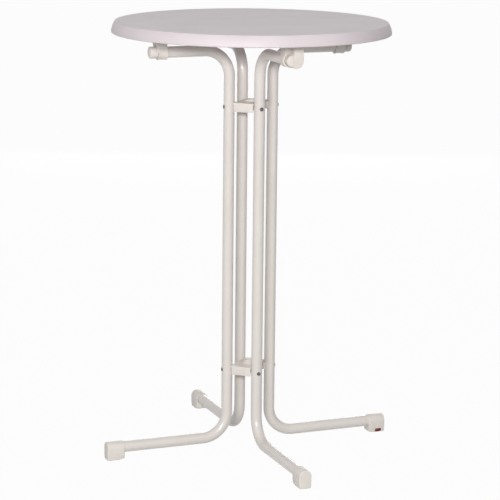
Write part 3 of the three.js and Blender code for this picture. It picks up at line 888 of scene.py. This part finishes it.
def catch_plate(name):
    outline = [(CATCH_NEAR, CATCH_LOW.z)]
    outline += arc((CATCH_FAR - CATCH_CORNER, CATCH_LOW.z + CATCH_CORNER), CATCH_CORNER, -QUARTER, 0, 14)
    outline += [(CATCH_FAR, CATCH_HIGH.z), (CATCH_NEAR, CATCH_HIGH.z)]
    plate = prism(name, outline, CATCH_START, CATCH_START + CATCH_THICKNESS, along_arm)
    foot_low = CATCH_HIGH.z - CATCH_THICKNESS
    join(plate, block("foot", (CATCH_START, CATCH_END), (CATCH_NEAR, CATCH_FAR),
                      (foot_low, CATCH_HIGH.z)))
    cut(plate, post("hole", BOARD_SCREW_SHANK + FIT, foot_low - OVERRUN, CATCH_HIGH.z + OVERRUN,
                    *CATCH_SCREW, SMALL_SIDES))
    soften(plate, CATCH_EDGE, steps=3)
    return plate


catch_master = catch_plate("catch_master")
smooth(catch_master)
for side in ("front", "rear"):
    plate = turned_copy(catch_master, f"catch_plate_{side}", side)
    fix(plate, "root", f"catch_{side}", moulding)
bpy.data.objects.remove(catch_master)


# The board screws
# Ten dark steel screws with cross-recessed pan heads hold the bearings, the clips and the
# catch plates up against the board, in holes drilled part of the way into it.
BOARD_SCREW_HEAD = 0.004
BOARD_SCREW_HEAD_HEIGHT = 0.0024
BOARD_RECESS_DEPTH = 0.0018
BOARD_DOME_SHARE = 0.55
BOARD_SCREW_PITCH = 0.0018
BOARD_SCREW_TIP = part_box("bearing_screw_right_1")[1].z


def board_screw(name, seat):
    """A screw on the middle axis, its head facing down and its point up."""
    low = seat - FIT - BOARD_SCREW_HEAD_HEIGHT
    top = seat - FIT
    shoulder = BOARD_SCREW_HEAD_HEIGHT * BOARD_DOME_SHARE
    profile = [(0, top), (BOARD_SCREW_HEAD, top), (BOARD_SCREW_HEAD, low + shoulder)]
    for i in range(1, DOME_STEPS + 1):
        angle = QUARTER * i / DOME_STEPS
        profile.append((BOARD_SCREW_HEAD * math.cos(angle), low + shoulder * (1 - math.sin(angle))))
    head = turned(name, profile, SCREW_SIDES, upwards)
    for part in cross_recess(0, BOARD_SCREW_HEAD, BOARD_RECESS_DEPTH):
        part.data.transform(Matrix.Translation((0, 0, low)) @ Matrix.Rotation(QUARTER, 4, "Y"))
        cut(head, part)
    join(head, threaded_rod("shank", BOARD_SCREW_SHANK, top - shoulder, BOARD_SCREW_TIP,
                            BOARD_SCREW_PITCH, SCREW_THREAD_DEPTH, SCREW_POINT))
    return head


flange_screw_master = board_screw("flange_screw_master", FLANGE_BOTTOM)
catch_screw_master = board_screw("catch_screw_master", CATCH_HIGH.z - CATCH_THICKNESS)
for master in (flange_screw_master, catch_screw_master):
    smooth(master)
for side, turn in SIDE_TURN.items():
    holder = "bearing" if side in ("left", "right") else "clip"
    for number, y in ((1, FLANGE_SCREW_Y), (2, -FLANGE_SCREW_Y)):
        screw = turned_copy(flange_screw_master, f"{holder}_pan_screw_{side}_{number}", "right")
        screw.data.transform(Matrix.Rotation(turn, 4, "Z") @ Matrix.Translation((FLANGE_SCREW_X, y, 0)))
        fix(screw, "root", f"{holder}_screw_{side}_{number}", steel)
    if holder == "clip":
        screw = turned_copy(catch_screw_master, f"catch_pan_screw_{side}", "right")
        screw.data.transform(Matrix.Rotation(turn, 4, "Z") @ Matrix.Translation((*CATCH_SCREW, 0)))
        fix(screw, "root", f"catch_screw_{side}", steel)
bpy.data.objects.remove(flange_screw_master)
bpy.data.objects.remove(catch_screw_master)


# The board
# One round board of 700 mm, pressed from resin-bound wood fibre under a hard white skin.
# The top is flat up to a crisp line, from which the rim curves out and down to a rounded
# lip. From below it is a shallow dish, with blind holes for the screws.
BOARD_LOW, BOARD_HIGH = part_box("table_top")
BOARD_RADIUS = (BOARD_HIGH.x - BOARD_LOW.x) / 2
PANEL_THICKNESS = 0.016
RIM_WIDTH = 0.025
RIM_SETBACK = 0.009
RIM_SHOULDER_SHARES = (0.17, 0.36)
RIM_STEPS = 28
LIP_DRAFT = 0.002
LIP_ROUND = 0.003
LIP_DRAFT_SHARE = 0.8
CREASE = 0.0006
BOARD_HOLE_SIDES = 20
BOARD_SIDES = 288
BOARD_WHITE = (0.785, 0.716, 0.735, 1)
BOARD_WHITE_SHADE = (0.745, 0.676, 0.697, 1)


def hard_skin():
    """The board's resin skin: satin, almost even, with a very fine leathery grain."""
    material, tree, shader = new_finish("board_skin")
    tone(tree, shader, grain(tree, size=0.11, detail=4), BOARD_WHITE_SHADE, BOARD_WHITE, low=0.3, high=0.7)
    gloss(tree, shader, grain(tree, size=0.02, detail=3), low=0.38, high=0.48)
    relief(tree, shader, grain(tree, size=0.0011, detail=3), depth=0.00004, strength=0.25)
    shader.inputs["Specular IOR Level"].default_value = 0.25
    return material


def curve_points(start, pull, end, steps):
    """Points on a curve that leaves start towards pull and arrives at end from it."""
    points = []
    for i in range(steps + 1):
        t = i / steps
        weights = ((1 - t) ** 2, 2 * t * (1 - t), t ** 2)
        points.append(tuple(sum(w * p[k] for w, p in zip(weights, (start, pull, end))) for k in (0, 1)))
    return points


def board_profile():
    top, low = BOARD_HIGH.z, BOARD_LOW.z
    under = top - PANEL_THICKNESS
    inner = BOARD_RADIUS - RIM_WIDTH
    depth = top - low
    inset, drop = RIM_SHOULDER_SHARES
    pull = (BOARD_RADIUS - RIM_SETBACK * inset, top - depth * drop)
    rim_end = (BOARD_RADIUS, low + LIP_ROUND)
    profile = [(0, under), (inner - LIP_DRAFT - CREASE, under)]
    profile += curve_points((inner - LIP_DRAFT - CREASE, under), (inner - LIP_DRAFT, under),
                            (inner - LIP_DRAFT * LIP_DRAFT_SHARE, under - CREASE), 4)[1:]
    profile += arc((inner + LIP_ROUND / 2, low + LIP_ROUND / 2), LIP_ROUND / 2, math.pi, 3 * QUARTER, 8)
    profile += arc((BOARD_RADIUS - LIP_ROUND, low + LIP_ROUND), LIP_ROUND, -QUARTER, 0, 10)
    rim = curve_points((BOARD_RADIUS - RIM_SETBACK, top), pull, rim_end, RIM_STEPS)
    profile += list(reversed(rim))[1:-1]
    profile += [(BOARD_RADIUS - RIM_SETBACK, top), (0, top)]
    return profile


def board(name):
    form = turned(name, board_profile(), BOARD_SIDES, upwards)
    under = BOARD_HIGH.z - PANEL_THICKNESS
    hole_top = BOARD_SCREW_TIP + FIT
    for turn in SIDE_TURN.values():
        places = [(FLANGE_SCREW_X, FLANGE_SCREW_Y), (FLANGE_SCREW_X, -FLANGE_SCREW_Y)]
        if abs(turn) == QUARTER:
            places.append(CATCH_SCREW)
        for place in places:
            x, y, _ = Matrix.Rotation(turn, 3, "Z") @ Vector((*place, 0))
            cut(form, post("hole", BOARD_SCREW_SHANK + FIT, under - OVERRUN, hole_top, x, y,
                           BOARD_HOLE_SIDES))
    return form


table_board = board("round_board")
smooth(table_board, edge_angle=24)
fix(table_board, "root", "table_top", hard_skin())


# The studio
# A wide pale floor and a white surround, with one broad white lamp in front of the table, so
# that faces turned to it are brighter than the flat top, and a weaker one behind it.
FLOOR_RADIUS = 30
FLOOR_THICKNESS = 0.02
FLOOR_SIDES = 96
FLOOR_COLOUR = (0.6, 0.6, 0.6, 1)
PURE_WHITE = (1, 1, 1, 1)
SHADOW_SHARE = 0.035
HORIZON_LIGHT = 0.02
ZENITH_LIGHT = 0.59
TABLE_MIDDLE = (0, 0, BOARD_HIGH.z / 2)
KEY_PLACE = (-2.5, -4.6, 2.1)
KEY_SIZE = (2.4, 0.6)
KEY_POWER = 195
BACK_FILL_PLACE = (1.7, 4.4, 0.6)
BACK_FILL_TARGET = (0, 0, 0.6)
BACK_FILL_SIZE = (2.4, 0.9)
BACK_FILL_POWER = 26


def is_background_ray(tree):
    """One for rays that see the background directly, by reflection or through a clear piece."""
    rays = tree.nodes.new("ShaderNodeLightPath")
    first = node_after(tree, "ShaderNodeMath", rays.outputs["Is Camera Ray"], 0, operation="MAXIMUM")
    tree.links.new(rays.outputs["Is Glossy Ray"], first.inputs[1])
    second = node_after(tree, "ShaderNodeMath", first.outputs[0], 0, operation="MAXIMUM")
    tree.links.new(rays.outputs["Is Transmission Ray"], second.inputs[1])
    return second.outputs[0]


def white_floor():
    """Matt pale paper that shows as plain white and keeps a faint share of the shadow."""
    material = bpy.data.materials.new("floor_paper")
    material.use_nodes = True
    tree = material.node_tree
    paper = tree.nodes["Principled BSDF"]
    paper.inputs["Base Color"].default_value = FLOOR_COLOUR
    paper.inputs["Roughness"].default_value = 1
    paper.inputs["Specular IOR Level"].default_value = 0
    white = tree.nodes.new("ShaderNodeEmission")
    white.inputs["Color"].default_value = PURE_WHITE
    share = node_after(tree, "ShaderNodeMath", is_background_ray(tree), 0, operation="MULTIPLY")
    share.inputs[1].default_value = 1 - SHADOW_SHARE
    mix = node_after(tree, "ShaderNodeMixShader", share.outputs[0], 0)
    tree.links.new(paper.outputs[0], mix.inputs[1])
    tree.links.new(white.outputs[0], mix.inputs[2])
    tree.links.new(mix.outputs[0], tree.nodes["Material Output"].inputs["Surface"])
    return material


def studio_world():
    world = bpy.data.worlds.new("studio")
    world.use_nodes = True
    tree = world.node_tree
    lit = tree.nodes["Background"]
    lit.inputs["Color"].default_value = PURE_WHITE
    direction = tree.nodes.new("ShaderNodeTexCoord").outputs["Generated"]
    split = node_after(tree, "ShaderNodeSeparateXYZ", direction, "Vector")
    height = node_after(tree, "ShaderNodeMapRange", split.outputs["Z"], "Value")
    height.inputs["To Min"].default_value = HORIZON_LIGHT
    height.inputs["To Max"].default_value = ZENITH_LIGHT
    tree.links.new(height.outputs["Result"], lit.inputs["Strength"])
    seen = tree.nodes.new("ShaderNodeBackground")
    seen.inputs["Color"].default_value = PURE_WHITE
    seen.inputs["Strength"].default_value = 1
    mix = node_after(tree, "ShaderNodeMixShader", is_background_ray(tree), 0)
    tree.links.new(lit.outputs[0], mix.inputs[1])
    tree.links.new(seen.outputs[0], mix.inputs[2])
    tree.links.new(mix.outputs[0], tree.nodes["World Output"].inputs["Surface"])
    scene.world = world


def soft_lamp(name, place, target, size, power):
    lamp = bpy.data.lights.new(name, "AREA")
    lamp.shape = "RECTANGLE"
    lamp.size = size[0]
    lamp.size_y = size[1]
    lamp.energy = power
    holder = bpy.data.objects.new(name, lamp)
    scene.collection.objects.link(holder)
    holder.location = place
    aim = Vector(target) - Vector(place)
    holder.rotation_euler = aim.to_track_quat("-Z", "Y").to_euler()


floor = post("floor", FLOOR_RADIUS, -FLOOR_THICKNESS, 0, 0, 0, FLOOR_SIDES)
floor.data.materials.append(white_floor())
studio_world()
soft_lamp("key_lamp", KEY_PLACE, TABLE_MIDDLE, KEY_SIZE, KEY_POWER)
soft_lamp("back_fill", BACK_FILL_PLACE, BACK_FILL_TARGET, BACK_FILL_SIZE, BACK_FILL_POWER)


# The camera
# It stands where the photograph was taken, well back from the table and a little above
# the board, turned slightly past the left side, with a long lens.
CAMERA_PLACE = (-1.8998, -4.7852, 1.6122)
CAMERA_TURN = math.radians(-21.67)
CAMERA_TILT = math.radians(90 - 12.01)
CAMERA_ROLL = math.radians(0.579)
CAMERA_LENS = 148.6
CAMERA_SENSOR = 36
CAMERA_FAR = 200

camera = bpy.data.cameras.new("camera")
camera.lens = CAMERA_LENS
camera.sensor_width = CAMERA_SENSOR
camera.clip_end = CAMERA_FAR
stand = bpy.data.objects.new("camera", camera)
scene.collection.objects.link(stand)
stand.matrix_world = (Matrix.Translation(CAMERA_PLACE)
                      @ Matrix.Rotation(CAMERA_TURN, 4, "Z")
                      @ Matrix.Rotation(CAMERA_TILT, 4, "X")
                      @ Matrix.Rotation(CAMERA_ROLL, 4, "Z"))
scene.camera = stand
scene.view_settings.view_transform = "Standard"
